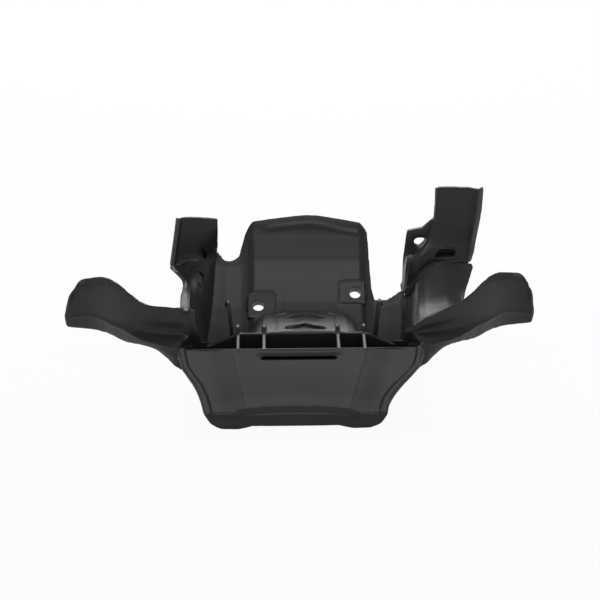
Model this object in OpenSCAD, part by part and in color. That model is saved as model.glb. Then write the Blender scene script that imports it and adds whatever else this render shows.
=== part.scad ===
// Moulded skid plate for a motorcycle: one plastic piece, in millimetres.
// Working frame while it is drawn: X to the right, Y from the apron towards the
// tongue, Z up, and the middle of the apron's upper edge at zero. At the end the
// whole part is moved so that the left bolt hole is the origin.

/* [Shell] */
// Wall of the bash skin, the apron, the arms and the side walls
wall = 3.2; // [2.4:0.2:4.4]
// Thickness of the ribs in the channel
rib = 3.6; // [2.4:0.2:4.8]

/* [Bash skin] */
// Radius of the underside's long curve
skin_radius = 268; // [258:1:290]
// Slope of the skin at the lip, in degrees
skin_slope = 6.3; // [5:0.1:8]
// Depth of the lip below the apron's upper edge
lip_depth = 55.5; // [53:0.5:58]
// How far the lip stands in front of the apron's upper edge
lip_reach = 48; // [46:0.5:50]
// How far the tongue's tip lies behind the apron's upper edge
tongue_reach = 144.5; // [140:0.5:150]
// Sideways place of the tongue's middle
tongue_x = 8; // [2:1:12]
// Width of the tongue at its tip
tongue_tip_w = 116; // [104:2:122]
// Width of the tongue at its root
tongue_root_w = 136; // [128:2:142]
// Width of the raised middle panel
panel_w = 106; // [96:2:112]
// Height of the raised middle panel's step
panel_h = 2; // [1:0.5:3]
// Depth of the hollows for the frame tubes
tube_hollow = 5; // [2:0.5:8]

/* [Apron and channel] */
// Width of the apron's upper edge
apron_w = 230; // [224:2:236]
// Width of the apron at the lip
lip_w = 168; // [160:2:176]
// Sideways place of the lip's middle
lip_x = -5.5; // [-8:0.5:0]
// Drop of the apron's middle, from its upper edge to the lip
apron_drop = 36.5; // [35:0.5:40]
// Reach of the apron's middle, from its upper edge to the lip
apron_reach = 43.5; // [42:0.5:47]
// Width of the raised rims along the apron's sides
rim_w = 6; // [4:0.5:8]
// Height of the raised rims along the apron's sides
rim_h = 2.4; // [1:0.2:4]
// Length of the slot in the apron
slot_l = 74; // [60:1:90]
// Height of the slot in the apron, along the slope
slot_h = 3; // [2:0.2:4.4]
// Width of the channel behind the apron, front to back
channel_w = 26; // [22:1:30]
// Depth of the rail's saddles for the frame tubes
saddle_depth = 14; // [8:1:18]

/* [Hump] */
// Depth of the level hump behind the channel, front to back
hump_d = 44; // [36:1:48]
// Depth of the chevron grooves
groove = 1.2; // [0.6:0.2:2]

/* [Arms] */
// Width over the tips of both arms
span = 448; // [430:2:470]
// How far the arms sweep back from the channel
arm_sweep = 41; // [34:1:46]
// Height of the arms' highest point
arm_h = 54; // [46:1:60]

/* [Side walls] */
// Top of the left tower above the apron's upper edge
left_tower_h = 85; // [78:1:92]
// Top of the right tower above the apron's upper edge
right_tower_h = 112; // [104:1:120]
// Place of the towers' faces behind the apron's upper edge
tower_y = 108; // [102:1:112]
// Height of the scoops' rims
scoop_h = 38; // [34:1:44]
// Thickness of the slotted bracket
bracket_t = 4; // [3:0.2:6]
// Width of the bracket's slot
bracket_slot_w = 8.8; // [6:0.2:9]
// Length of the bracket's slot
bracket_slot_l = 12; // [11:0.5:16]

/* [Bolt holes] */
// Diameter of the two bolt holes
bolt_d = 11.5; // [8.5:0.5:12.5]
// Diameter of the bosses round the bolt holes
boss_d = 24; // [20:0.5:28]
// Height of the flat pads round the bolt holes
pad_h = 1.2; // [0.6:0.2:2]
// Length of the bosses
boss_l = 11; // [8:0.5:14]
// Sideways place of the left bolt hole
left_bolt_x = -40; // [-43:1:-36]
// Sideways place of the right bolt hole
right_bolt_x = 55; // [52:1:57]
// Distance of the left bolt hole behind the apron's upper edge
left_bolt_y = 80; // [79:1:84]
// Distance of the right bolt hole behind the apron's upper edge
right_bolt_y = 90; // [86:1:94]

/* [Hidden] */
fine = 64;
along = 12;
half_apron = apron_w / 2;
half_lip = lip_w / 2;
half_span = span / 2;
inset = wall / 2;
big = 400;

// Centre of the bash skin's long curve, in Y and Z
curve_y = -lip_reach - skin_radius * sin(skin_slope);
curve_z = -lip_depth + wall + skin_radius * cos(skin_slope);
function skin_z(y) = curve_z - sqrt(skin_radius * skin_radius - (y - curve_y) * (y - curve_y));
function skin_tilt(y) = asin((y - curve_y) / skin_radius);

// Point at t, from 0 to 1, on a smooth curve through the points
function spline(a, b, c, d, t) =
    0.5 * (2 * b + (c - a) * t + (2 * a - 5 * b + 4 * c - d) * t * t + (3 * b - a - 3 * c + d) * t * t * t);
function point_at(points, t) =
    let (last = len(points) - 1, x = min(max(t, 0), 1) * last, i = min(floor(x), last - 1))
    spline(points[max(i - 1, 0)], points[i], points[i + 1], points[min(i + 2, last)], x - i);
function curve(points, steps) = [for (i = [0 : steps]) point_at(points, i / steps)];

// Grid of points between four edge curves that meet at their ends
function patch(near, far, left, right) =
    let (n = len(near) - 1, m = len(left) - 1)
    [for (j = [0 : m]) let (v = j / m)
        [for (i = [0 : n]) let (u = i / n)
            (1 - v) * near[i] + v * far[i] + (1 - u) * left[j] + u * right[j]
            - (1 - u) * (1 - v) * near[0] - u * (1 - v) * near[n]
            - (1 - u) * v * far[0] - u * v * far[n]]];

// Grid whose rows are smooth curves and whose columns run through the rows
function loft(rows, steps, row_steps) =
    let (smooth = [for (row = rows) curve(row, steps)])
    [for (j = [0 : row_steps])
        [for (i = [0 : steps]) point_at([for (row = smooth) row[i]], j / row_steps)]];

function unit(v) = v / max(norm(v), 0.000001);
function grid_normal(grid, i, j) =
    let (m = len(grid) - 1, n = len(grid[0]) - 1)
    unit(cross(
        grid[j][min(i + 1, n)] - grid[j][max(i - 1, 0)],
        grid[min(j + 1, m)][i] - grid[max(j - 1, 0)][i]));

// Sheet of even thickness behind a grid of points; the grid is its outer face
module skin(grid, thickness = wall) {
    m = len(grid) - 1;
    n = len(grid[0]) - 1;
    count = (m + 1) * (n + 1);
    outer = [for (j = [0 : m]) for (i = [0 : n]) grid[j][i]];
    inner = [for (j = [0 : m]) for (i = [0 : n]) grid[j][i] - thickness * grid_normal(grid, i, j)];
    function at(i, j) = j * (n + 1) + i;
    faces = concat(
        [for (j = [0 : m - 1]) for (i = [0 : n - 1]) [at(i, j), at(i, j + 1), at(i + 1, j + 1)]],
        [for (j = [0 : m - 1]) for (i = [0 : n - 1]) [at(i, j), at(i + 1, j + 1), at(i + 1, j)]],
        [for (j = [0 : m - 1]) for (i = [0 : n - 1])
            [count + at(i, j), count + at(i + 1, j + 1), count + at(i, j + 1)]],
        [for (j = [0 : m - 1]) for (i = [0 : n - 1])
            [count + at(i, j), count + at(i + 1, j), count + at(i + 1, j + 1)]],
        [for (i = [0 : n - 1]) for (f = strip(at(i, 0), at(i + 1, 0), count)) f],
        [for (i = [0 : n - 1]) for (f = strip(at(i + 1, m), at(i, m), count)) f],
        [for (j = [0 : m - 1]) for (f = strip(at(0, j + 1), at(0, j), count)) f],
        [for (j = [0 : m - 1]) for (f = strip(at(n, j), at(n, j + 1), count)) f]);
    polyhedron(points = concat(outer, inner), faces = faces, convexity = 8);
}
function strip(a, b, count) = [[a, b, count + b], [a, count + b, count + a]];

// Flat plate in Y and Z that stands on the skin
module side_plate(x, thickness, outline)
    translate([x - thickness / 2, 0, 0])
        rotate([90, 0, 90])
            linear_extrude(thickness)
                intersection() {
                    polygon(outline);
                    polygon(concat(
                        [for (y = [-lip_reach : 6 : tongue_reach]) [y, skin_top(x, y) - inset]],
                        [[tongue_reach, big / 2], [-lip_reach, big / 2]]));
                }

// Height of the skin over the plan: the long curve, with a raised middle panel
// and a shallow hollow on each side for the frame tubes
function ease(t) = let (s = min(max(t, 0), 1)) s * s * (3 - 2 * s);
function side_of(x) = abs(x - tongue_x) - panel_w / 2;
function skin_lift(x, y) =
    let (s = side_of(x), grow = ease((y + 10) / 60), reach = 40)
    grow * (panel_h * (1 - ease(s / 4)) - tube_hollow * sin(180 * min(max(s / reach, 0), 1)) );
function skin_top(x, y) = skin_z(y) + skin_lift(x, y);

// Outline of the bash skin seen from above
left_notch_y = 121;
right_notch_y = 90;
left_base_x = -83;
right_base_x = 101;
tip = tongue_tip_w / 2;
root = tongue_root_w / 2;
skin_outline = concat(
    [for (k = [0 : 4]) nose_foot(-1, 1.5)[k]], [
    [-half_apron + 12, 14], [-half_apron + 6, 20], [-half_apron + 5, channel_w + 4],
    [left_base_x - 12, 46], [left_base_x - 5, 60], [left_base_x - 3, 86], [left_base_x - 1, left_notch_y + 4],
    [left_base_x + 4, left_notch_y + 3], [left_base_x + 9, left_notch_y - 1],
    [left_base_x + 18, left_notch_y - 1], [tongue_x - root + 1.2, left_notch_y + 2],
    [tongue_x - tip - 5.8, tongue_reach - 14.8], [tongue_x - tip - 2.8, tongue_reach - 8.7],
    [tongue_x - tip + 0.8, tongue_reach - 4.8], [tongue_x - tip + 5, tongue_reach - 3.4],
    [tongue_x - tip * 0.62, tongue_reach - 2.1], [tongue_x - tip * 0.2, tongue_reach - 0.5],
    [tongue_x, tongue_reach], [tongue_x + tip * 0.2, tongue_reach - 0.3],
    [tongue_x + tip * 0.62, tongue_reach - 2.7], [tongue_x + tip - 3.6, tongue_reach - 4.8],
    [tongue_x + tip + 0.3, tongue_reach - 6.3], [tongue_x + tip + 2.3, tongue_reach - 8.7],
    [tongue_x + tip + 3.1, tongue_reach - 15.6],
    [tongue_x + root - 4.6, right_notch_y + 8], [tongue_x + root - 2, right_notch_y - 1],
    [right_base_x - 17, right_notch_y - 1], [right_base_x - 8, right_notch_y + 1],
    [right_base_x + 1, right_notch_y + 5], [right_base_x + 3, right_notch_y - 4],
    [right_base_x + 3, 56], [right_base_x + 9, 44], [half_apron - 5, channel_w + 4],
    [half_apron - 6, 20], [half_apron - 14, 14]],
    [for (k = [4 : -1 : 0]) nose_foot(1, 1.5)[k]]);
half_panel = panel_w / 2;
skin_columns = concat(
    [for (s = [76, 50, 36, 24, 12, 4, 0]) tongue_x - half_panel - s],
    [for (k = [-1 : 1]) tongue_x + k * half_panel / 2],
    [for (s = [0, 4, 12, 24, 36, 62]) tongue_x + half_panel + s]);
function skin_grid() =
    [for (j = [0 : along])
        let (y = -lip_reach + (tongue_reach + lip_reach + 4) * j / along)
        [for (x = skin_columns) [x, y, skin_top(x, y)]]];

module bash_skin()
    intersection() {
        skin(skin_grid());
        translate([0, 0, -big / 2])
            linear_extrude(big)
                polygon(skin_outline);
    }

// Apron: the sloping face between the upper edge and the lip
function reverse(list) = [for (i = [len(list) - 1 : -1 : 0]) list[i]];
function apron_side(side) = [
    [side * half_apron, 0, 0],
    [side * (half_apron - 3.5), -13.5, -11.4],
    [side * (half_lip + 14) + lip_x * 0.4, -apron_reach + 17, -apron_drop + 14.5],
    [side * (half_lip + 4) + lip_x, -apron_reach + 6, -apron_drop + 5],
    [side * half_lip + lip_x, -apron_reach - 6.5, -apron_drop - 5]];
// Shares of the half width, and how far each point of the foot is stepped out
foot_steps = [[-1, 6.5, 5], [-0.92, 5, 4], [-0.76, 5, 4], [-0.62, 2.8, 2.4], [-0.4, 1, 0.8], [0, 0, 0],
    [0.4, 1.2, 1], [0.62, 3.2, 2.6], [0.76, 5.4, 4.2], [0.92, 5.4, 4.2], [1, 6.5, 5]];
apron_foot = [for (f = foot_steps) [f[0] * half_lip + lip_x, -apron_reach - f[1], -apron_drop - f[2]]];
apron_head = [[-half_apron, 0, 0], [-half_apron / 2, 0, 0], [0, 0, 0], [half_apron / 2, 0, 0], [half_apron, 0, 0]];
function apron_grid() =
    patch(curve(apron_foot, 18), curve(apron_head, 18),
        curve(reverse(apron_side(-1)), 5), curve(reverse(apron_side(1)), 5));
apron_tilt = atan(apron_drop / apron_reach);

module apron() {
    difference() {
        skin(apron_grid());
        apron_slot();
    }
    for (side = [-1, 1]) apron_rim(side);
}

// Long slot near the apron's upper edge, shorter along its upper side
slot_y = -7.2;
slot_x = -2;
module apron_slot()
    translate([slot_x, slot_y, slot_y * tan(apron_tilt)])
        rotate([apron_tilt, 0, 0])
            translate([0, 0, -10])
                linear_extrude(20)
                    polygon([
                        [-slot_l / 2, -slot_h / 2], [-slot_l / 2 + 4, slot_h / 2],
                        [slot_l / 2 - 4, slot_h / 2], [slot_l / 2, -slot_h / 2]]);

// Raised rim that follows the apron's curved side
module apron_rim(side) {
    past = [0, 0.5 * cos(apron_tilt), 0.5 * sin(apron_tilt)];
    edge = [for (p = curve(apron_side(side), 8)) p + past];
    raise = [0, -rim_h * sin(apron_tilt), rim_h * cos(apron_tilt)];
    inward = [-side, 0, 0];
    rows = [
        [for (p = edge) p + inward * (rim_w + 1.6) - raise * 0.25],
        [for (p = edge) p + inward * rim_w + raise],
        [for (p = edge) p + inward * 0.8 + raise],
        [for (p = edge) p - inward * 0.3 - raise * 0.45]];
    skin(side > 0 ? rows : reverse(rows), wall);
}

// Lip: rolls down from the apron's foot and under to the bash skin
module lip() {
    top = apron_foot;
    middle = [for (p = top) [p[0] - 0.005 * (p[0] - lip_x), p[1] - 0.8, p[2] - 7]];
    droop = [for (f = foot_steps) ease((abs(f[0]) - 0.4) / 0.25) * (1 - 0.6 * ease((abs(f[0]) - 0.9) / 0.1))];
    low = [for (i = [0 : 10]) let (p = top[i])
        [p[0] - 0.02 * (p[0] - lip_x), -lip_reach - 1.6 - 1.5 * droop[i], -lip_depth + 4 - 4 * droop[i]]];
    under = [for (i = [0 : 10]) let (p = top[i])
        [p[0] - 0.05 * (p[0] - lip_x), -lip_reach + 4 - droop[i], -lip_depth + wall * 0.2 - 3.4 * droop[i]]];
    skin(loft([under, low, middle, top], 18, 4));
}

// Arms. Each station has its share of the arm's length, its sweep, the height of
// its left and right top, its foot, the ledge's sweep, and the hem's drop and sweep
arm_stations = [
    [-0.156, 0.00, 0.61, 0.15, 0.04, 0.00, 0.70, 0.03],
    [-0.080, 0.01, 0.63, 0.21, 0.04, 0.01, 0.70, 0.03],
    [-0.012, 0.05, 0.64, 0.33, 0.04, -0.33, 0.50, -0.24],
    [0.040, 0.08, 0.63, 0.38, 0.03, -0.36, 0.43, -0.25],
    [0.147, 0.16, 0.62, 0.46, 0.03, -0.23, 0.23, -0.12],
    [0.250, 0.24, 0.61, 0.54, 0.03, -0.10, 0.155, 0.00],
    [0.367, 0.36, 0.69, 0.61, 0.04, 0.09, 0.16, 0.15],
    [0.477, 0.48, 0.87, 0.80, 0.06, 0.38, 0.24, 0.42],
    [0.600, 0.67, 0.91, 0.90, 0.07, 0.62, 0.23, 0.70],
    [0.700, 0.86, 0.85, 0.87, 0.09, 0.84, 0.235, 0.90],
    [0.800, 0.98, 0.77, 0.81, 0.10, 0.96, 0.245, 1.02],
    [0.900, 1.00, 0.75, 0.80, 0.08, 0.98, 0.22, 1.02],
    [0.963, 0.96, 0.70, 0.74, 0.07, 0.95, 0.19, 0.98],
    [1.000, 0.88, 0.60, 0.62, 0.07, 0.87, 0.14, 0.92]];
arm_root_y = 17;
arm_lean = [8, 4.5];
function arm_x(side, s, up) = side * (half_apron + s[0] * (half_span - half_apron) 
    - arm_lean[side > 0 ? 1 : 0] * up * ease((s[0] - 0.78) / 0.22));
function arm_y(share) = arm_root_y + share * arm_sweep;
function arm_top(side, s) = arm_h * (side > 0 ? s[3] : s[2]);
// The arm's top rolls back where it is highest
function arm_roll(s) = 5 * ease((s[0] - 0.4) / 0.3) * (1 - 0.6 * ease((s[0] - 0.85) / 0.15));
function arm_rows(side) = [
    [for (s = arm_stations) [arm_x(side, s, 1), arm_y(s[1]) + 1 + arm_roll(s), arm_top(side, s)]],
    [for (s = arm_stations) [arm_x(side, s, 0.9), arm_y(s[1]), arm_top(side, s) - 1.5 - arm_roll(s) * 0.9]],
    [for (s = arm_stations) [arm_x(side, s, 0.45), arm_y(s[1]) - 0.6, (arm_top(side, s) + s[4] * arm_h) / 2]],
    [for (s = arm_stations) [arm_x(side, s, 0.05), arm_y(s[1]) - 0.4, s[4] * arm_h + 2.5]],
    [for (s = arm_stations) [arm_x(side, s, 0), arm_y(s[5]), s[4] * arm_h - 1.5]],
    [for (s = arm_stations) [arm_x(side, s, 0), arm_y(s[7]), -s[6] * arm_h]]];
module arm(side)
    skin(loft(side > 0 ? reverse(arm_rows(side)) : arm_rows(side), 18, 10));

// Plan of the nose's foot, where its side meets the bash skin
function nose_foot(side, back) = [
    [side * (half_lip - 1.5 - back) + lip_x, -lip_reach],
    [side * (half_lip - 0.5 - back) + lip_x, -lip_reach + 10],
    [side * (half_lip + 0.5 - back) + lip_x, -lip_reach + 24],
    [side * (half_apron - 29 - back) + lip_x * 0.8, -12],
    [side * (half_apron - 20 - back) + lip_x * 0.6, 3],
    [side * (half_apron - 2 - back), 7]];

// Side of the nose between the apron's rim and the bash skin's edge
module nose_side(side) {
    s = arm_stations[2];
    edge = concat([for (p = reverse(apron_side(side))) p + [side * 0.75, 0.45, -0.55]],
        [[arm_x(side, s, 0) + side * 1.6, arm_y(s[5]) + 1.1, -1.9]]);
    foot = [for (k = [0 : 5]) let (f = nose_foot(side, 0)[k]) [f[0], f[1], k < 5 ? skin_z(f[1]) - 1 : -0.5 * arm_h]];
    rows = [for (k = [0 : 3]) [for (i = [0 : 5]) foot[i] + (edge[i] - foot[i]) * k / 3]];
    skin(loft(side > 0 ? rows : reverse(rows), 12, 3));
}

// Rail behind the channel, with a saddle for each frame tube
module rail() {
    low = -lip_depth;
    top = [
        [-half_apron - 2, -7], [-half_apron + 9, -11], [-half_apron + 22, -saddle_depth],
        [-half_apron + 30, -saddle_depth + 1], [-63, -2], [-58, 0], [60, 0], [66, -2],
        [half_apron - 28, -saddle_depth + 1], [half_apron - 20, -saddle_depth],
        [half_apron - 8, -10], [half_apron + 2, -7]];
    window = (rib_x[2] - rib_x[1]) / 2 - rib;
    window_h = 16;
    translate([0, channel_w + wall, 0])
        rotate([90, 0, 0])
            linear_extrude(wall)
                difference() {
                    polygon(concat(top, [for (x = [half_apron + 2 : -6 : -half_apron - 2])
                        [x, skin_top(x, channel_w) - inset]]));
                    translate([(rib_x[1] + rib_x[2]) / 2 - window, low + 16])
                        square([2 * window, window_h]);
                }
}

// Everything above the middle of the bash skin's wall, out to its outline
module above_skin() {
    steps = 24;
    profile = [for (i = [0 : steps]) let (y = -lip_reach + (tongue_reach + lip_reach) * i / steps) [y, skin_z(y) - inset]];
    translate([-big / 2, 0, 0])
        rotate([90, 0, 90])
            linear_extrude(big)
                polygon(concat(profile, [[tongue_reach, big / 2], [-lip_reach, big / 2]]));
}

// Ribs that tie the apron's upper edge to the rail, with a post behind the rail
rib_x = [-59, -34.5, 35.5, 60];
module ribs() {
    for (x = rib_x)
        side_plate(x, rib, [
            [-1.5, 0], [channel_w + 2, 0], [channel_w + 4, 5], [channel_w + 9, 5],
            [channel_w + 13, 0], [channel_w + 13, -lip_depth], [-1.5, -lip_depth]]);
    for (side = [-1, 1]) {
        side_plate(side * (half_apron - 1.8), rib, [
            [-1.5, 0], [15, 0.5], [15, -16], [8, -16], [-1.5, -12]]);
        corner_rib(side);
    }
}

// Two slanted ribs that brace the end of the rail to the arm
module corner_rib(side)
    for (x = [[0, 13, 27, 29], [0, 6, 15, 21]])
        hull() {
            translate([side * (half_apron - x[0]), x[1], -6])
                cube([rib * 0.8, 1, 9], center = true);
            translate([side * (half_apron - x[2]), x[3], -saddle_depth - 1])
                cube([rib * 0.8, 1, 9], center = true);
        }

// Level hump behind the rail that meets the rising skin
hump_l = 108;
hump_x = 5;
function hump_top(x, y) =
    let (t = abs(x - hump_x) / (hump_l / 2), k = (y - channel_w) / hump_d)
    1.4 - 1.5 * t * t - 18 * pow(max(t - 0.62, 0) / 0.38, 2) * (0.25 + 0.75 * k) - 3.5 * k * k * k;
module hump() {
    y0 = channel_w + 1;
    rows = [for (j = [0 : 6]) let (y = y0 + (hump_d + 10) * j / 6)
        [for (i = [0 : 14]) let (x = hump_x + hump_l * (i / 14 - 0.5)) [x, y, hump_top(x, y)]]];
    ends = [for (row = rows) concat(
        [[row[0][0] - 3, row[0][1], row[0][2] - 30]], row, [[row[14][0] + 3, row[14][1], row[14][2] - 30]])];
    intersection() {
        difference() {
            skin(ends);
            chevron(hump_x + 1, 59);
            chevron(hump_x + 1, 35.5);
        }
        above_skin();
    }
}

// Blunt arrow-shaped groove in the hump
module chevron(x, y) {
    arm = 15;
    rise = 7;
    width = 5;
    translate([x, y, 1.2 - groove])
        linear_extrude(10)
            polygon([[-arm, 0], [0, rise], [arm, 0], [arm, -width * 0.3], [0, rise - width], [-arm, -width * 0.3]]);
}

// Left side wall: a strip that rises from the skin and turns into the left tower.
// Its foot runs along the skin and up the tower's inner edge, and its rim runs
// along the scoop and up the tower's outer edge
left_foot = [[-92, 20, -32], [-90, 50, skin_z(50) - 1.5], [-87, 69, skin_z(69) - 1.5], [-85, 86, skin_z(86) - 1.5],
    [-83, 106, skin_z(106) - 1.5], [-80.5, left_notch_y, skin_z(left_notch_y) - 1.5],
    [-79, tower_y + 4, left_tower_h * 0.6], [-78.5, tower_y, left_tower_h * 0.8], [-78.5, tower_y, left_tower_h - 5]];
left_rim = [[-104, arm_root_y - 1, scoop_h - 5.4], [-104.2, 34, scoop_h - 6], [-104.8, 50, scoop_h - 5.5],
    [-105.6, 70, scoop_h - 6.8], [-111.2, 80, scoop_h - 4.6], [-118.2, 90, scoop_h - 2.9],
    [-119.8, tower_y - 7, scoop_h - 3.9], [-115.9, tower_y - 3.5, left_tower_h * 0.68],
    [-112.2, tower_y - 1, left_tower_h - 2.6]];
left_near = [left_foot[0], [-94, 16, 0], [-99, 15.5, 18], left_rim[0]];
left_top = [left_foot[8], [-86, tower_y, left_tower_h - 4.2], [-100, tower_y, left_tower_h - 3], left_rim[8]];
// Leaf-shaped pockets: both ends, the way the wall faces there and the depth
leaves = [
    [[-96.4, tower_y + 0.8, 48], [-89.9, tower_y + 0.8, 36], [0.5, -0.85, 0.1], 6],
    [[-97.6, 92.9, 32.4], [-91.3, 88.4, 26.1], [0.36, -0.3, 0.88], 5],
    [[-97.6, 78.1, 26.6], [-93.5, 75.3, 22.2], [0.6, -0.2, 0.77], 4]];
module left_side() {
    grid = patch(curve(left_foot, 18), curve(left_rim, 18), curve(left_near, 4), curve(left_top, 4));
    difference() {
        union() {
            skin(grid);
            for (l = leaves) leaf(l, 1.6, -l[3] - 1.6, -2.4);
        }
        for (l = leaves) leaf(l, 0, -l[3], 5);
    }
    left_return();
}
// Bevelled return along the rim of the left wall and tower
module left_return() {
    edge = curve(left_rim, 12);
    rows = [
        [for (p = edge) p + [0.6, 0.6, 0]],
        [for (p = edge) p + [-1.8, -2.4, 0.6]],
        [for (p = edge) p + [-6.4 - 2.4 * (1 - ease((p[1] - 30) / 45)), 2.2, -1.2]],
        [for (p = edge) p + [-6.8 - 2.4 * (1 - ease((p[1] - 30) / 45)), 6, -2.5]]];
    skin(rows, wall * 0.8);
}
module leaf(l, grow, from, to) {
    z = unit(l[2]);
    run = l[1] - l[0];
    y = unit(run - (run * z) * z);
    x = cross(y, z);
    middle = (l[0] + l[1]) / 2 + z * from;
    multmatrix([for (k = [0 : 2]) [x[k], y[k], z[k], middle[k]]])
        scale([norm(run) * 0.18 + grow, norm(run) / 2 + grow, 1])
            cylinder(r = 1, h = to - from, $fn = 20);
}

// Right side wall: a scoop that opens towards the arm
right_base = [[98, 20, -32], [97.5, 46, skin_z(46) - 1], [100, 70, skin_z(70) - 1],
    [right_base_x, right_notch_y + 3, skin_z(right_notch_y + 3) - 1]];
right_rim = [[right_base_x, right_notch_y + 3, skin_z(right_notch_y + 3) - 1], [106, 88, scoop_h * 0.08],
    [111.4, 83.5, scoop_h * 0.3], [113.1, 82, scoop_h * 0.56], [120.7, 80, scoop_h * 0.86], [132, 80, scoop_h + 3.8],
    [145.5, 80, scoop_h + 4.5], [168.5, 83, scoop_h + 1.8]];
right_fall = [[154.3, 37, 26.5], [158.5, 54, 28.5], [163.9, 69, 34.5], [168.5, 83, scoop_h + 1.8]];
right_hem = [[98, 20, -32], [99, 18, -6], [107, 18.5, 12], [117, 20.5, 18], [134, 25, 22], [144, 29, 25], [154.3, 37, 26.5]];
module right_side() {
    grid = patch(curve(right_base, 8), curve(right_fall, 8), curve(right_hem, 9), curve(right_rim, 9));
    skin(reverse(grid));
    right_tower();
    bracket();
}

// Right tower: a tall panel that stands up from the scoop's rim
right_edge = [[right_base_x + 0.8, right_notch_y + 4, skin_z(right_notch_y + 3) - 1.7], [104.4, 93.6, 8],
    [105.9, 92, 25], [106.4, 92, 39], [107.7, 96, 42.4], [115.2, 101, 47.1], [122.8, 105, 54.6],
    [124.8, 105.5, 62.6], [131.3, 107, 78.8], [132, 107.5, 94], [131.7, tower_y, right_tower_h - 1.6]];
right_top = [[131.7, tower_y, right_tower_h - 1.6], [135, tower_y, right_tower_h], [148, tower_y, right_tower_h],
    [164.8, tower_y, right_tower_h - 0.6]];
right_outer = [[162.4, 92, scoop_h - 2], [162.6, 93.5, scoop_h], [163.8, 103, scoop_h + 17.5], [164.1, 105, scoop_h + 35],
    [164.7, 107, right_tower_h - 22], [164.8, tower_y, right_tower_h - 0.6]];
right_foot = [right_edge[0], [113, 88, scoop_h * 0.5], [128, 92, scoop_h - 4], [146, 92.6, scoop_h - 3.5], right_outer[0]];
module right_tower() {
    grid = patch(curve(right_foot, 8), curve(right_top, 8), curve(right_edge, 10), curve(right_outer, 10));
    difference() {
        union() {
            skin(grid);
            recess(recess_y + 9, 10, 2);
        }
        recess(recess_y + 7, 20, 0);
    }
    edge = curve(right_edge, 10);
    wide = [for (p = edge) 3 * ease(p[2] / 16) * (1 - ease((p[2] - 34) / 12))];
    skin([[for (p = edge) p + [0.5, 0.8, 0]], [for (i = [0 : 10]) edge[i] + [-0.8 - wide[i] * 0.4, 3, -0.3]],
        [for (i = [0 : 10]) [edge[i][0] - 0.4 - wide[i], max(edge[i][1] + 6, tower_y + 3), edge[i][2] - 0.6]]]);
    outer = curve(right_outer, 10);
    crest = [for (i = [0 : 10]) outer[i] + [0.4 + 6.6 * ease(i / 9), -0.6 - 3.6 * ease(i / 6), 0.6]];
    skin([[for (i = [0 : 10]) crest[i] + [0.6 + 5 * ease(i / 3), 9, -1.5]],
        [for (i = [0 : 10]) crest[i] + [0.6 + 5 * ease(i / 3), 5, -1]],
        crest, [for (p = outer) p + [-0.6, 0.5, -0.4]]], wall * 0.8);
    tower_shelf();
}
// Blind pocket in the tower, from its floor towards the apron
recess_y = 97;
module recess(floor_y, depth, grow)
    translate([141.8, floor_y, scoop_h + 9])
        rotate([90, 0, 0])
            linear_extrude(depth)
                offset(delta = grow)
                    polygon([[-10.5, -3.5], [-6, 3.6], [7, 3.6], [9.5, 1], [9.5, -3.5]]);

// Shelf between the scoop's rim and the tower's foot
module tower_shelf() {
    rim = [for (p = curve([for (i = [1 : 7]) right_rim[i]], 10)) p + [0, 0.6, -1]];
    foot = [for (i = [0 : 10]) point_at(right_foot, 0.1 + 0.9 * i / 10) + [0, 0.6, 0.8]];
    skin([foot, [for (i = [0 : 10]) (foot[i] + rim[i]) / 2 + [0, 0, -1.5]], rim]);
}

// Bracket behind the right tower, with a long hole
bracket_x = 118.5;
bracket_z = 53.5;
module bracket()
    translate([0, tower_y + bracket_t, 0])
        rotate([90, 0, 0])
            linear_extrude(bracket_t)
                difference() {
                    polygon([
                        [102.4, 4], [102.6, bracket_z - 19.5], [105.2, bracket_z + 10], [106.4, bracket_z + 11.8],
                        [120.6, bracket_z + 15], [129.4, bracket_z + 24], [138, bracket_z + 24.5],
                        [138, 40], [122, 30], [114, 6]]);
                    hull()
                        for (x = [-1, 1])
                            translate([bracket_x + x * (bracket_slot_l - bracket_slot_w) / 2, bracket_z])
                                circle(d = bracket_slot_w, $fn = fine);
                }

// Springy hooks that stand beside the frame tubes
prong_h = 28;
prong_lean = 4.5;
module prong(side, x) {
    thick = 2.8;
    multmatrix([[1, 0, side * prong_lean / 60, 0], [0, 1, 0, 0], [0, 0, 1, 0], [0, 0, 0, 1]]) {
        side_plate(x, thick, [[30, -lip_depth], [34, prong_h - 6], [36.7, prong_h + 0.2], [43, prong_h - 0.8],
            [47, prong_h - 9], [55, -lip_depth]]);
        translate([x, 44, 0])
            rotate([90, 0, 0])
                linear_extrude(6)
                    polygon([[0, prong_h - 0.4], [side * (thick / 2 + 0.3), prong_h - 0.7],
                        [side * (thick / 2 + 2.6), prong_h - 5], [side * thick * 0.3, prong_h - 6.2],
                        [0, prong_h - 6]]);
    }
}

// Flat pads round the bolt holes and the bosses under them
module at_bolt(x, y)
    translate([x, y, skin_top(x, y)])
        rotate([skin_tilt(y), 0, 0])
            children();
module pad(shift, w, d)
    translate([shift - w / 2, -d / 2, -wall / 2])
        cube([w, d, wall / 2 + pad_h]);
module boss()
    translate([0, 0, -boss_l])
        cylinder(d = boss_d, h = boss_l - 1, $fn = fine);

module moulding() {
    bash_skin();
    apron();
    lip();
    rail();
    ribs();
    hump();
    left_side();
    right_side();
    prong(-1, -66);
    prong(1, 73);
    for (side = [-1, 1]) {
        arm(side);
        nose_side(side);
    }
    at_bolt(left_bolt_x, left_bolt_y) pad(3.5, 27, 26);
    at_bolt(right_bolt_x, right_bolt_y) pad(-3.5, 26, 24);
}

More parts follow.
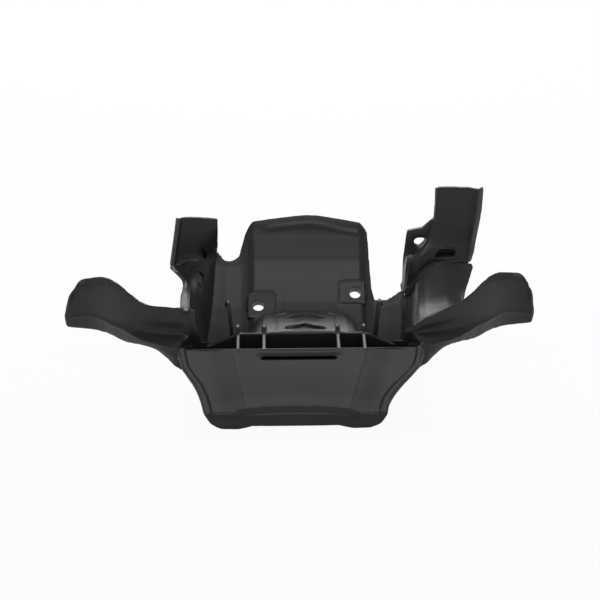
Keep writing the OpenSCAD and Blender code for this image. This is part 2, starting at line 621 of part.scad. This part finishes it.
module skid_plate()
    color([0.10, 0.10, 0.11])
        translate([-left_bolt_x, -left_bolt_y, -skin_top(left_bolt_x, left_bolt_y)])
            difference() {
                union() {
                    resize([0, 0, 0]) moulding();
                    at_bolt(left_bolt_x, left_bolt_y) boss();
                    at_bolt(right_bolt_x, right_bolt_y) boss();
                }
                at_bolt(left_bolt_x, left_bolt_y) cylinder(d = bolt_d, h = 60, center = true, $fn = fine);
                at_bolt(right_bolt_x, right_bolt_y) cylinder(d = bolt_d, h = 60, center = true, $fn = fine);
            }

skid_plate();
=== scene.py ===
import math
import bmesh
import bpy
import numpy as np
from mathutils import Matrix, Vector, kdtree

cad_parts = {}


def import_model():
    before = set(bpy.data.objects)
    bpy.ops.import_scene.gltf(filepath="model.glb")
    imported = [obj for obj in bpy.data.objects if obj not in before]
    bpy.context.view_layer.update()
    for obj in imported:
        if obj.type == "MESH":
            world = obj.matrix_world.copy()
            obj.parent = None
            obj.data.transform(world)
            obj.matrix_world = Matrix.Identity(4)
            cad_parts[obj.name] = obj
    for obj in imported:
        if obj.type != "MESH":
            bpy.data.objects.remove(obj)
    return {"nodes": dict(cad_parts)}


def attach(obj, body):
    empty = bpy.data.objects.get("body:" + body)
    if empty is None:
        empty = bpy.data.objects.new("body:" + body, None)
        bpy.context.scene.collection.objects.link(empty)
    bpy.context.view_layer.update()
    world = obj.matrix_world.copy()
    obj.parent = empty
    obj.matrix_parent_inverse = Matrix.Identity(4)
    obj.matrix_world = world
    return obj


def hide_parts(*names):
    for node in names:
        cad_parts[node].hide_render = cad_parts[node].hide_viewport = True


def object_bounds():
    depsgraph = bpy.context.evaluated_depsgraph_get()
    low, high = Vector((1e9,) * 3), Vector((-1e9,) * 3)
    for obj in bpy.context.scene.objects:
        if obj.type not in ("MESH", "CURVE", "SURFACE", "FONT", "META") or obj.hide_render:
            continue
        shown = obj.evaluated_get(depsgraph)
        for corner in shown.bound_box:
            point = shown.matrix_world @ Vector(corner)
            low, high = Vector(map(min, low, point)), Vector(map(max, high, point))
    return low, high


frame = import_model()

cad_lo, cad_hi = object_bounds()
scene = bpy.context.scene
MM = 0.001

# Camera, fitted to the outline in the photograph

CAMERA_AIM = Vector((40, -35, 26.4)) * MM
CAMERA_DISTANCE = 1.5
CAMERA_TURN = math.radians(1.1)
CAMERA_RISE = math.radians(30)
# In millimetres
SENSOR_WIDTH, LENS = 36, 94.74

def camera():
    data = bpy.data.cameras.new("camera")
    cam = bpy.data.objects.new("camera", data)
    scene.collection.objects.link(cam)
    level = math.cos(CAMERA_RISE)
    back = Vector((-math.sin(CAMERA_TURN) * level, -math.cos(CAMERA_TURN) * level, math.sin(CAMERA_RISE)))
    cam.location = CAMERA_AIM + back * CAMERA_DISTANCE
    cam.rotation_mode = "QUATERNION"
    cam.rotation_quaternion = (-back).to_track_quat("-Z", "Y")
    data.sensor_width = SENSOR_WIDTH
    data.lens = LENS
    data.clip_start, data.clip_end = 0.05, 50
    scene.camera = cam

camera()

# Mesh helpers: a mesh of four-sided faces is held as its points, one row each, and
# the numbers of each face's corners

def read_mesh(me):
    """Points of a mesh."""
    co = np.zeros(len(me.vertices) * 3, np.float64)
    me.vertices.foreach_get("co", co)
    return co.reshape(-1, 3)

def quads_of(me):
    """Corner numbers of a mesh's faces."""
    idx = np.zeros(len(me.loops), np.int64)
    me.loops.foreach_get("vertex_index", idx)
    return idx.reshape(-1, 4)

def unit_rows(a):
    return a / np.maximum(np.linalg.norm(a, axis=1, keepdims=True), 1e-12)

def face_normals(co, quads):
    return unit_rows(np.cross(co[quads[:, 2]] - co[quads[:, 0]], co[quads[:, 3]] - co[quads[:, 1]]))

def faces_round(co, quads):
    """How many faces meet at each point, one at the least."""
    return np.maximum(np.bincount(quads.ravel(), minlength=len(co)), 1)

def normal_sums(co, quads, normals):
    """Sum of the normals of the faces round each point."""
    total = np.zeros_like(co)
    for c in range(4):
        for k in range(3):
            total[:, k] += np.bincount(quads[:, c], normals[:, k], len(co))
    return total

def point_normals(co, quads, normals):
    return unit_rows(normal_sums(co, quads, normals))

def flatness(co, quads):
    """How flat the surface is round each point: 1 on a level stretch, and less on a bend."""
    total = normal_sums(co, quads, face_normals(co, quads))
    return np.linalg.norm(total, axis=1) / faces_round(co, quads)

def face_pairs(quads):
    """Pairs of faces that share an edge."""
    a = quads.ravel()
    b = np.roll(quads, -1, axis=1).ravel()
    key = np.minimum(a, b) * (quads.max() + 1) + np.maximum(a, b)
    order = np.argsort(key, kind="stable")
    key = key[order]
    face = np.repeat(np.arange(len(quads)), 4)[order]
    same = np.nonzero(key[1:] == key[:-1])[0]
    return face[same], face[same + 1]

def filter_normals(normals, pairs, steps, angle):
    """Evens out normals over faces that nearly face the same way, and keeps edges."""
    i, j = pairs
    count = len(normals)
    limit = math.cos(math.radians(angle))
    for _ in range(steps):
        dot = np.einsum("ij,ij->i", normals[i], normals[j])
        share = np.clip((dot - limit) / (1 - limit), 0, 1)
        total = normals * 1.0
        for k in range(3):
            total[:, k] += (
                np.bincount(i, share * normals[j, k], count) + np.bincount(j, share * normals[i, k], count))
        normals = unit_rows(total)
    return normals

def fit_to_normals(co, quads, normals, steps, reach):
    """Moves the points a little so that the faces follow the evened normals."""
    start = co.copy()
    hits = faces_round(co, quads)[:, None]
    for _ in range(steps):
        centre = co[quads].mean(axis=1)
        push = np.zeros_like(co)
        for c in range(4):
            v = quads[:, c]
            gap = np.einsum("ij,ij->i", normals, centre - co[v])
            for k in range(3):
                push[:, k] += np.bincount(v, gap * normals[:, k], len(co))
        move = co + push / hits - start
        far = np.linalg.norm(move, axis=1)
        co = start + move * np.minimum(1, reach / np.maximum(far, 1e-12))[:, None]
    return co

def relax(co, quads, steps, share):
    """Draws each point towards the mean of its neighbours."""
    a = quads.ravel()
    b = np.roll(quads, -1, axis=1).ravel()
    near = faces_round(co, quads)[:, None]
    for _ in range(steps):
        mean = np.stack([np.bincount(a, co[b, k], len(co)) for k in range(3)], axis=1) / near
        co = co + share * (mean - co)
    return co

def relax_part(co, quads, share, where):
    """One such step for the chosen points alone."""
    return np.where(where[:, None], relax(co, quads, 1, share), co)

def snap(me, co, target):
    """The points of a mesh, moved to the nearest point on the target."""
    me.vertices.foreach_set("co", co.ravel())
    o = bpy.data.objects.new("snap", me)
    scene.collection.objects.link(o)
    wrap = o.modifiers.new("wrap", "SHRINKWRAP")
    wrap.target = target
    wrap.wrap_method = "NEAREST_SURFACEPOINT"
    dg = bpy.context.evaluated_depsgraph_get()
    out = read_mesh(bpy.data.meshes.new_from_object(o.evaluated_get(dg)))
    bpy.data.objects.remove(o)
    return out

def sharp_edges(me, angle, step):
    """Points at even steps along the sharp edges of a mesh."""
    bm = bmesh.new()
    bm.from_mesh(me)
    bmesh.ops.remove_doubles(bm, verts=bm.verts, dist=1e-6)
    points = []
    for e in bm.edges:
        if len(e.link_faces) == 2 and e.calc_face_angle(0) > angle:
            a, b = e.verts[0].co, e.verts[1].co
            count = max(1, math.ceil((b - a).length / step))
            points += [a.lerp(b, k / count) for k in range(count + 1)]
    bm.free()
    tree = kdtree.KDTree(len(points))
    for k, q in enumerate(points):
        tree.insert(q, k)
    tree.balance()
    return tree

def pull_to_edges(co, quads, tree, reach, bend, where):
    """Moves the chosen points on a bend that lie close to a sharp edge of the solid onto that edge."""
    pulled = co.copy()
    for v in np.nonzero((flatness(co, quads) < bend) & where)[0]:
        place, _, gap = tree.find(co[v])
        if gap < reach:
            pulled[v] = place
    return pulled

def calm_edges(co, quads, where, bend, steps):
    """Evens out the teeth that the even mesh leaves along acute edges."""
    bent = (flatness(co, quads) < bend) & where
    for _ in range(steps):
        co = relax_part(co, quads, 0.6, bent)
    return co

# Fine forms, drawn in the part's working frame in millimetres: the middle of the
# apron's upper edge is zero, X runs right and Y from the apron towards the tongue.
# In every form w holds the points and up the way that the surface faces there. A
# groove or a bead is given by half its width and its depth or height

WORK = np.array([40, -80, 0.8204])

def rise(value, start, length):
    """Soft step from 0 to 1 over a length from the start."""
    t = np.clip((value - start) / length, 0, 1)
    return t * t * (3 - 2 * t)

def fall(value, start, length):
    """Soft step from 1 to 0 over a length from the start."""
    return 1 - rise(value, start, length)

def within(value, low, high):
    return (value > low) & (value < high)

def line_distance(p, line):
    """Distance of each point from a chain of points."""
    best = np.full(len(p), 1e9)
    for start, end in zip(line[:-1], line[1:]):
        a = np.array(start, float)
        run = np.array(end, float) - a
        t = np.clip(((p - a) @ run) / (run @ run), 0, 1)
        best = np.minimum(best, np.linalg.norm(p - (a + t[:, None] * run), axis=1))
    return best

def line_height(x, line):
    """Second coordinate of a chain in plan at each first coordinate."""
    xs, ys = np.array(line, float).T
    return np.interp(x, xs, ys)

def smooth_line(points, steps):
    """Smooth curve through the points, as a chain."""
    pts = [np.array(q, float) for q in points]
    out = []
    for i in range(len(pts) - 1):
        a, b, c, d = pts[max(i - 1, 0)], pts[i], pts[i + 1], pts[min(i + 2, len(pts) - 1)]
        for k in range(steps):
            t = k / steps
            square = (2 * a - 5 * b + 4 * c - d) * t * t
            cube = (3 * b - a - 3 * c + d) * t ** 3
            out.append(0.5 * (2 * b + (c - a) * t + square + cube))
    out.append(pts[-1])
    return out

def blur(row, spread):
    """Row of values evened out over a few places to each side, ends held."""
    reach = int(3 * spread)
    k = np.exp(-0.5 * (np.arange(-reach, reach + 1) / spread) ** 2)
    return np.convolve(np.pad(row, reach, "edge"), k / k.sum(), "valid")

def lift(w, up, where, height):
    """Moves the chosen points outwards, each by its own height, or inwards where that is below zero."""
    w[where] += up[where] * height[:, None]

def groove(w, up, where, line, half, depth):
    """Soft groove along a chain in plan, with sides that fall over a millimetre."""
    away = line_distance(w[where, :2], line)
    lift(w, up, where, -depth * fall(away, half - 0.5, 1.0))

def bead(w, up, where, line, half, height):
    """Soft bead along a chain in space."""
    away = line_distance(w[where], line)
    lift(w, up, where, height * fall(away, half * 0.3, half * 1.2))

# Tongue: its rows of straight facets, the crease near its tip, the outlines of the
# two pads, the borders at its sides and the folds up its foot

TONGUE_START, TONGUE_END = 70, 146
TONGUE_LEFT, TONGUE_RIGHT = -50, 66
SIDE_FADE = 6
# The strip between the pads, where the curve's height is read at these rows
MIDDLE_STRIP = (-10, 28)
TONGUE_ROWS = np.array([88, 100.3, 118.1, 132.1, 142])
COARSE_SPREAD, FINE_SPREAD = 7, 1.5
SHEET_REACH = 9
TONGUE_MIDDLE = 8
TIP_CREASE = [
    (-62, 124), (-50, 129.5), (-43.5, 133.5), (-29.6, 137.4), (-8, 139),
    (7.8, 139.8), (20, 139.2), (40, 136.5), (58.3, 134.3), (66, 132)]
TIP_RIDGE = [(x, y - 1.2) for x, y in TIP_CREASE[3:-1]]
TIP_DROP = 0.14
RIDGE_HEIGHT = 0.45
PAD_OUTLINES = (
    [(-50, 92), (-27, 92), (-24.6, 90.5), (-23.8, 87), (-23.8, 70)],
    [(64, 99.5), (44, 99.5), (40, 97), (38.6, 92), (39, 84), (42, 80.5), (60, 80.5)])
PAD_GROOVE = (0.6, 0.45)
TONGUE_BORDERS = ([(-45.6, 60), (-45.6, 127)], [(61.6, 84), (61.6, 128)])
BORDER_GROOVE = (0.7, 0.3)
TONGUE_FOLDS = (-15, 29.5)
FOLD_HEIGHT = 0.5

def tongue_side(up):
    """Faces that look up and not away from the apron, as the tongue's upper side does."""
    return (up[:, 2] > 0.3) & (up[:, 1] < 0.2)

def even_tongue(w, up):
    """Takes the flat steps out of the tongue's curve, which the solid draws in straight rows."""
    x, y, z = w.T
    along = within(y, TONGUE_START, TONGUE_END)
    middle = tongue_side(up) & within(x, *MIDDLE_STRIP) & along & (z > 0)
    high = [np.median(z[middle & (abs(y - row) < 1.0)]) for row in TONGUE_ROWS]
    slope = (high[1] - high[0]) / (TONGUE_ROWS[1] - TONGUE_ROWS[0])
    places = np.arange(TONGUE_START, TONGUE_END + 1, 1.0)
    profile = np.interp(places, TONGUE_ROWS, high)
    foot = places < TONGUE_ROWS[0]
    profile[foot] = high[0] + slope * (places[foot] - TONGUE_ROWS[0])
    steps = blur(profile, COARSE_SPREAD) - blur(profile, FINE_SPREAD)
    shift = steps * rise(places, 84, 6) * fall(places, 132, 7)
    near = within(x, TONGUE_LEFT, TONGUE_RIGHT) & along
    near &= abs(z - np.interp(y, places, profile)) < SHEET_REACH
    side = rise(x, TONGUE_LEFT, SIDE_FADE) * fall(x, TONGUE_RIGHT - SIDE_FADE, SIDE_FADE)
    w[near, 2] += (np.interp(y, places, shift) * side)[near]

def tongue_details(w, up):
    """Lowered tip and the crease before it, pad outlines, borders and folds."""
    x, y, z = w.T.copy()
    aside = abs(x - TONGUE_MIDDLE)
    top = tongue_side(up) & (y > 60) & (aside < 72) & (z > -30)
    past = y - line_height(x, TIP_CREASE)
    tip = (past > -2) & (y > 116) & (aside < 70) & (z > 20)
    w[tip, 2] -= TIP_DROP * np.clip(past[tip], 0, 6)
    away = line_distance(w[top, :2], smooth_line(TIP_RIDGE, 4))
    lift(w, up, top, RIDGE_HEIGHT * fall(away, 0, 2.6))
    for line in PAD_OUTLINES:
        groove(w, up, top, smooth_line(line, 4), *PAD_GROOVE)
    for line in TONGUE_BORDERS:
        groove(w, up, top, line, *BORDER_GROOVE)
    for fold in TONGUE_FOLDS:
        near = top & (abs(x - fold) < 3) & within(y, 66, 96)
        lift(w, up, near, FOLD_HEIGHT * fall(abs(x[near] - fold), 0, 1.6) * fall(y[near], 74, 20))

# Lip: the raised crease where the apron turns down into it, the hollow along that
# crease, and the corners, which draw in towards the bottom

LIP_MIDDLE, LIP_HALF = -5.5, 82
LIP_START = -38
LIP_HEIGHT = 12
CREASE_HEIGHT = 1.0
HOLLOW_DEPTH = 0.5
CORNER_CUT = 0.075
CORNER_START, CORNER_RUN = 50, 34

def find_crease(x, y, z, up):
    """Place and height of the turn between apron and lip, read off the surface from left to right."""
    turn = within(up[:, 2], 0.25, 0.62) & (up[:, 1] < -0.6) & (y < LIP_START) & (z > -47)
    found = []
    for place in np.arange(-68, 56, 2.0):
        pick = turn & (abs(x - place) < 1.5)
        if pick.any():
            found.append((place, np.median(y[pick]), np.median(z[pick])))
    places, ys, zs = np.array(found).T
    return np.interp(x, places, blur(ys, 2)), np.interp(x, places, blur(zs, 2))

def lip_details(w, up):
    x, y, z = w.T.copy()
    crease_y, crease_z = find_crease(x, y, z, up)
    aside = abs(x - LIP_MIDDLE)
    front = (up[:, 1] < 0.3) & (y < LIP_START + 2) & (aside < LIP_HALF)
    away = np.hypot(y - crease_y, z - crease_z)
    lift(w, up, front, CREASE_HEIGHT * fall(away[front], 0.3, 1.5))
    under = front & (z < crease_z)
    lift(w, up, under, -HOLLOW_DEPTH * rise(away[under], 1.8, 1) * fall(away[under], 3.2, 2))
    low = (y < LIP_START) & (z < crease_z)
    cut = CORNER_CUT * np.clip((crease_z - z) / LIP_HEIGHT, 0, 1.2) * rise(aside, CORNER_START, CORNER_RUN)
    w[low, 0] -= ((x - LIP_MIDDLE) * cut)[low]

# Shelf: two pressed chevrons, each with a hollow in front of it, and the border lines
# of its middle panel

CHEVRONS = (
    [(-8.5, 56.7), (5.8, 64), (21, 55)],
    [(-11.8, 35.3), (4.7, 39.8), (22, 33.7)])
CHEVRON_GROOVE = (2.0, 3.2)
CHEVRON_HOLLOW = 0.9
HOLLOW_RUN, HOLLOW_HALF, HOLLOW_FADE = 13, 15, 6
PANEL_BORDERS = (
    [(-22.8, 28), (-21.6, 57), (-19.5, 63), (-14, 67)],
    [(34.2, 28), (34, 57), (32, 63), (27, 67)])
PANEL_GROOVE = (0.7, 0.8)

def shelf_details(w, up):
    x, y, z = w.T.copy()
    top = (up[:, 2] > 0.6) & (abs(x - 5) < 50) & within(y, 24, 76) & within(z, -14, 4)
    for line in CHEVRONS:
        groove(w, up, top, line, *CHEVRON_GROOVE)
        before = line_height(x, line) - y
        aside = abs(x - line[1][0])
        inside = top & (before > 0) & (aside < HOLLOW_HALF)
        ends = fall(aside, HOLLOW_HALF - HOLLOW_FADE, HOLLOW_FADE)
        fade = (1 - np.clip(before / HOLLOW_RUN, 0, 1)) * ends
        w[inside, 2] -= CHEVRON_HOLLOW * fade[inside]
    for line in PANEL_BORDERS:
        groove(w, up, top, smooth_line(line, 5), *PANEL_GROOVE)

# Apron: a raised fold line to each side, from the upper edge to the lip, with the
# sheet sunk outside it, and the bulge between the slot and the upper edge

APRON_RUN = 46
APRON_SLOPE = 0.84
FOLD_LINES = ((-1, -64, -50.5), (1, 61.7, 42.5))
FOLD_LINE_HEIGHT = 0.35
SUNK_DEPTH = 1.5
SUNK_WIDTH, SUNK_FADE = 26, 16
SLOT_MIDDLE = -2
BULGE_HEIGHT = 0.7
BULGE_FRONT, BULGE_HALF = -6, 34

def apron_details(w, up):
    x, y, z = w.T.copy()
    face = (up[:, 1] < -0.35) & (up[:, 2] > 0.35) & within(y, -52, 2) & (z > y * APRON_SLOPE - 9)
    for side, top_x, foot_x in FOLD_LINES:
        fold = top_x + (foot_x - top_x) * np.clip(-y / APRON_RUN, 0, 1)
        outwards = side * (x - fold)
        lift(w, up, face, FOLD_LINE_HEIGHT * fall(abs(outwards[face]), 0, 1.8))
        beyond = face & (outwards > 0)
        far = outwards[beyond]
        lift(w, up, beyond, -SUNK_DEPTH * rise(far, 0, SUNK_WIDTH) * fall(far, SUNK_WIDTH, SUNK_FADE))
    aside = abs(x - SLOT_MIDDLE)
    over = face & (y > BULGE_FRONT) & (aside < BULGE_HALF + 10)
    ends = fall(aside[over], BULGE_HALF, 8)
    lift(w, up, over, BULGE_HEIGHT * rise(y[over], BULGE_FRONT, 2.5) * fall(y[over], -3, 3) * ends)

# Arms: a rounded rim along the ledge of each, whose points are shares of the arm's
# reach, sweep and height

ARM_START = 112
ARM_ROOT, ARM_REACH = 115, 109
ARM_MIDDLE, ARM_SWEEP = 17, 41
ARM_FOOT, ARM_HEIGHT = -1.5, 54
LEDGE_REACH = [0.04, 0.147, 0.25, 0.367, 0.477, 0.6, 0.7, 0.8, 0.9, 0.963]
LEDGE_SWEEP = [-0.36, -0.23, -0.10, 0.09, 0.38, 0.62, 0.84, 0.96, 0.98, 0.95]
LEDGE_HEIGHT = [0.03, 0.03, 0.03, 0.04, 0.06, 0.07, 0.09, 0.10, 0.08, 0.07]
LEDGE_BEAD = (1.3, 0.7)

def arm_details(w, up):
    for side in (-1, 1):
        ledge = [
            (side * (ARM_ROOT + a * ARM_REACH), ARM_MIDDLE + b * ARM_SWEEP, ARM_FOOT + c * ARM_HEIGHT)
            for a, b, c in zip(LEDGE_REACH, LEDGE_SWEEP, LEDGE_HEIGHT)]
        arm = (side * w[:, 0] > ARM_START) & (w[:, 1] < 70)
        bead(w, up, arm, smooth_line(ledge, 3), *LEDGE_BEAD)

def fine_forms(co, quads, normals):
    w = co / MM - WORK
    up = point_normals(co, quads, normals)
    even_tongue(w, up)
    lip_details(w, up)
    shelf_details(w, up)
    tongue_details(w, up)
    apron_details(w, up)
    arm_details(w, up)
    return (w + WORK) * MM

# Shell: the moulding with soft edges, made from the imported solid

VOXEL = 0.9 * MM
EDGE_ANGLE = math.radians(38)
RIDGE_ANGLE = math.radians(100)
EDGE_STEP = 0.15 * MM
EDGE_REACH, TIP_REACH, RIDGE_REACH = 0.65 * VOXEL, 0.95 * VOXEL, 4.2 * MM
# A point lies on a bend where the flatness is below these
EDGE_BEND, RIDGE_BEND, ARM_BEND = 0.985, 0.82, 0.95
TIP_START, TIP_WIDTH, TIP_LOW = 127, (-58, 74), 34
SOFT_ANGLE = 30
FIT_REACH = 0.4 * MM
SHELL_CUTS = [-45, 15, 65, 125]
SHELL_NAMES = ["shell_left", "shell_middle_left", "shell_middle", "shell_middle_right", "shell_right"]

def even_mesh(node):
    """Points and faces of an even mesh over the solid, drawn back onto its surface."""
    base = bpy.data.objects.new("base", node.data.copy())
    scene.collection.objects.link(base)
    remesh = base.modifiers.new("remesh", "REMESH")
    remesh.mode = "VOXEL"
    remesh.voxel_size = VOXEL
    dg = bpy.context.evaluated_depsgraph_get()
    me = bpy.data.meshes.new_from_object(base.evaluated_get(dg))
    bpy.data.objects.remove(base)
    co, quads = read_mesh(me), quads_of(me)
    for _ in range(3):
        co = snap(me, relax(co, quads, 2, 0.5), node)
    return co, quads

def follow_edges(co, quads, node):
    """Draws the bends onto the solid's sharp edges, with more care at the tongue's tip and the arms."""
    x, y, z = (co / MM - WORK).T
    tip = (y > TIP_START) & within(x, *TIP_WIDTH) & (z > TIP_LOW)
    arms = (abs(x) > ARM_START) & (y < 90)
    edges = sharp_edges(node.data, EDGE_ANGLE, EDGE_STEP)
    co = pull_to_edges(co, quads, edges, EDGE_REACH, EDGE_BEND, ~tip)
    co = pull_to_edges(co, quads, edges, TIP_REACH, EDGE_BEND, tip)
    co = relax_part(co, quads, 0.5, ~tip)
    ridges = sharp_edges(node.data, RIDGE_ANGLE, EDGE_STEP)
    for _ in range(4):
        co = pull_to_edges(co, quads, ridges, RIDGE_REACH, RIDGE_BEND, tip)
        co = relax_part(co, quads, 0.4, tip)
    return calm_edges(co, quads, arms, ARM_BEND, 7)

def make_piece(name, co, quads, corners):
    """Object of the given faces, with a normal for each of their corners."""
    used = np.unique(quads)
    number = np.full(len(co), -1, np.int64)
    number[used] = np.arange(len(used))
    me = bpy.data.meshes.new(name)
    me.from_pydata(co[used].tolist(), [], number[quads].tolist())
    me.polygons.foreach_set("use_smooth", np.ones(len(quads), bool))
    me.update()
    me.normals_split_custom_set(corners.tolist())
    o = bpy.data.objects.new(name, me)
    scene.collection.objects.link(o)
    return o

def make_shell():
    node = frame["nodes"]["skid_plate"]
    co, quads = even_mesh(node)
    co = follow_edges(co, quads, node)
    pairs = face_pairs(quads)
    normals = filter_normals(face_normals(co, quads), pairs, 16, SOFT_ANGLE)
    co = fit_to_normals(co, quads, normals, 12, FIT_REACH)
    normals = filter_normals(face_normals(co, quads), pairs, 6, SOFT_ANGLE)
    co = fine_forms(co, quads, normals)
    normals = filter_normals(face_normals(co, quads), pairs, 2, SOFT_ANGLE)
    co = np.clip(co, np.array(cad_lo), np.array(cad_hi))
    corners = point_normals(co, quads, normals)[quads]
    place = np.searchsorted(np.array(SHELL_CUTS) * MM, co[quads].mean(axis=1)[:, 0], side="right")
    pieces = []
    for k, name in enumerate(SHELL_NAMES):
        pick = place == k
        pieces.append(make_piece(name, co, quads[pick], corners[pick].reshape(-1, 3)))
    return pieces

# Material: satin black moulded plastic

DARK_TONE, LIGHT_TONE = (0.021, 0.021, 0.0225, 1), (0.026, 0.026, 0.0275, 1)
LOW_ROUGHNESS, HIGH_ROUGHNESS = 0.32, 0.40
PLASTIC_IOR = 1.46

def noise(nt, coord, scale, detail):
    node = nt.nodes.new("ShaderNodeTexNoise")
    node.inputs["Scale"].default_value = scale
    node.inputs["Detail"].default_value = detail
    nt.links.new(coord.outputs["Object"], node.inputs["Vector"])
    return node

def plastic():
    m = bpy.data.materials.new("moulding")
    m.use_nodes = True
    nt = m.node_tree
    n = nt.nodes
    shader = n["Principled BSDF"]
    shader.inputs["IOR"].default_value = PLASTIC_IOR
    shader.inputs["Specular IOR Level"].default_value = 0.5
    coord = n.new("ShaderNodeTexCoord")
    # Slight change of tone over the moulding
    cloud = noise(nt, coord, 14, 4)
    tone = n.new("ShaderNodeValToRGB")
    dark, light = tone.color_ramp.elements
    dark.position, light.position = 0.35, 0.68
    dark.color, light.color = DARK_TONE, LIGHT_TONE
    nt.links.new(cloud.outputs["Fac"], tone.inputs["Fac"])
    nt.links.new(tone.outputs["Color"], shader.inputs["Base Color"])
    # Fine grain, in the roughness and as a slight relief
    grain = noise(nt, coord, 900, 3)
    rough = n.new("ShaderNodeMapRange")
    rough.inputs["To Min"].default_value = LOW_ROUGHNESS
    rough.inputs["To Max"].default_value = HIGH_ROUGHNESS
    nt.links.new(grain.outputs["Fac"], rough.inputs["Value"])
    nt.links.new(rough.outputs["Result"], shader.inputs["Roughness"])
    bump = n.new("ShaderNodeBump")
    bump.inputs["Strength"].default_value = 0.12
    bump.inputs["Distance"].default_value = 0.2 * MM
    nt.links.new(grain.outputs["Fac"], bump.inputs["Height"])
    nt.links.new(bump.outputs["Normal"], shader.inputs["Normal"])
    return m

material = plastic()
shell = make_shell()
for o in shell:
    o.data.materials.append(material)
    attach(o, "root")
    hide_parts("skid_plate")

# Floor and light: a white studio, with a floor that shows nearly white to the camera

WHITE = (1, 1, 1, 1)
FLOOR_HALF = 6
FLOOR_GAP = 0.2 * MM
FLOOR_GLOW_SHARE = 0.94
WORLD_STRENGTH = 0.37
LAMP_AIM = Vector((0.04, 0, 0.03))
# Name, place, width and height in metres, and power in watts
LAMPS = (
    ("front", (0.04, -0.55, 1.33), (1.2, 0.25), 3.3),
    ("back low", (0.04, 1.4, 0.8), (1.8, 0.45), 10),
    ("back high", (0.04, 1.2, 1.08), (1.8, 0.45), 12),
    ("left", (-1.35, -0.25, 0.55), (0.6, 0.6), 0.4),
    ("right", (1.2, -0.9, 0.35), (0.4, 0.6), 0.8))

def floor_material():
    """Matt white that catches the shadows, mixed with an even glow where the camera sees it."""
    m = bpy.data.materials.new("floor")
    m.use_nodes = True
    nt = m.node_tree
    n = nt.nodes
    shader = n["Principled BSDF"]
    shader.inputs["Base Color"].default_value = (0.8, 0.8, 0.8, 1)
    shader.inputs["Roughness"].default_value = 0.9
    shader.inputs["Specular IOR Level"].default_value = 0.0
    glow = n.new("ShaderNodeEmission")
    glow.inputs["Color"].default_value = WHITE
    glow.inputs["Strength"].default_value = 1.0
    path = n.new("ShaderNodeLightPath")
    share = n.new("ShaderNodeMath")
    share.operation = "MULTIPLY"
    share.inputs[1].default_value = FLOOR_GLOW_SHARE
    mix = n.new("ShaderNodeMixShader")
    nt.links.new(path.outputs["Is Camera Ray"], share.inputs[0])
    nt.links.new(share.outputs[0], mix.inputs[0])
    nt.links.new(shader.outputs[0], mix.inputs[1])
    nt.links.new(glow.outputs[0], mix.inputs[2])
    nt.links.new(mix.outputs[0], n["Material Output"].inputs["Surface"])
    return m

def floor():
    z = cad_lo.z - FLOOR_GAP
    me = bpy.data.meshes.new("floor")
    corners = [(x * FLOOR_HALF, y * FLOOR_HALF, z) for x, y in ((-1, -1), (1, -1), (1, 1), (-1, 1))]
    me.from_pydata(corners, [], [(0, 1, 2, 3)])
    o = bpy.data.objects.new("floor", me)
    scene.collection.objects.link(o)
    o.data.materials.append(floor_material())

def world():
    w = bpy.data.worlds.new("studio")
    scene.world = w
    w.use_nodes = True
    back = w.node_tree.nodes["Background"]
    back.inputs["Color"].default_value = WHITE
    back.inputs["Strength"].default_value = WORLD_STRENGTH

def lamp(name, place, size, power):
    data = bpy.data.lights.new(name, "AREA")
    data.shape = "RECTANGLE"
    data.size, data.size_y = size
    data.energy = power
    o = bpy.data.objects.new(name, data)
    scene.collection.objects.link(o)
    o.location = place
    o.rotation_mode = "QUATERNION"
    o.rotation_quaternion = (LAMP_AIM - Vector(place)).to_track_quat("-Z", "Y")

floor()
world()
for values in LAMPS:
    lamp(*values)
scene.view_settings.view_transform = "Standard"
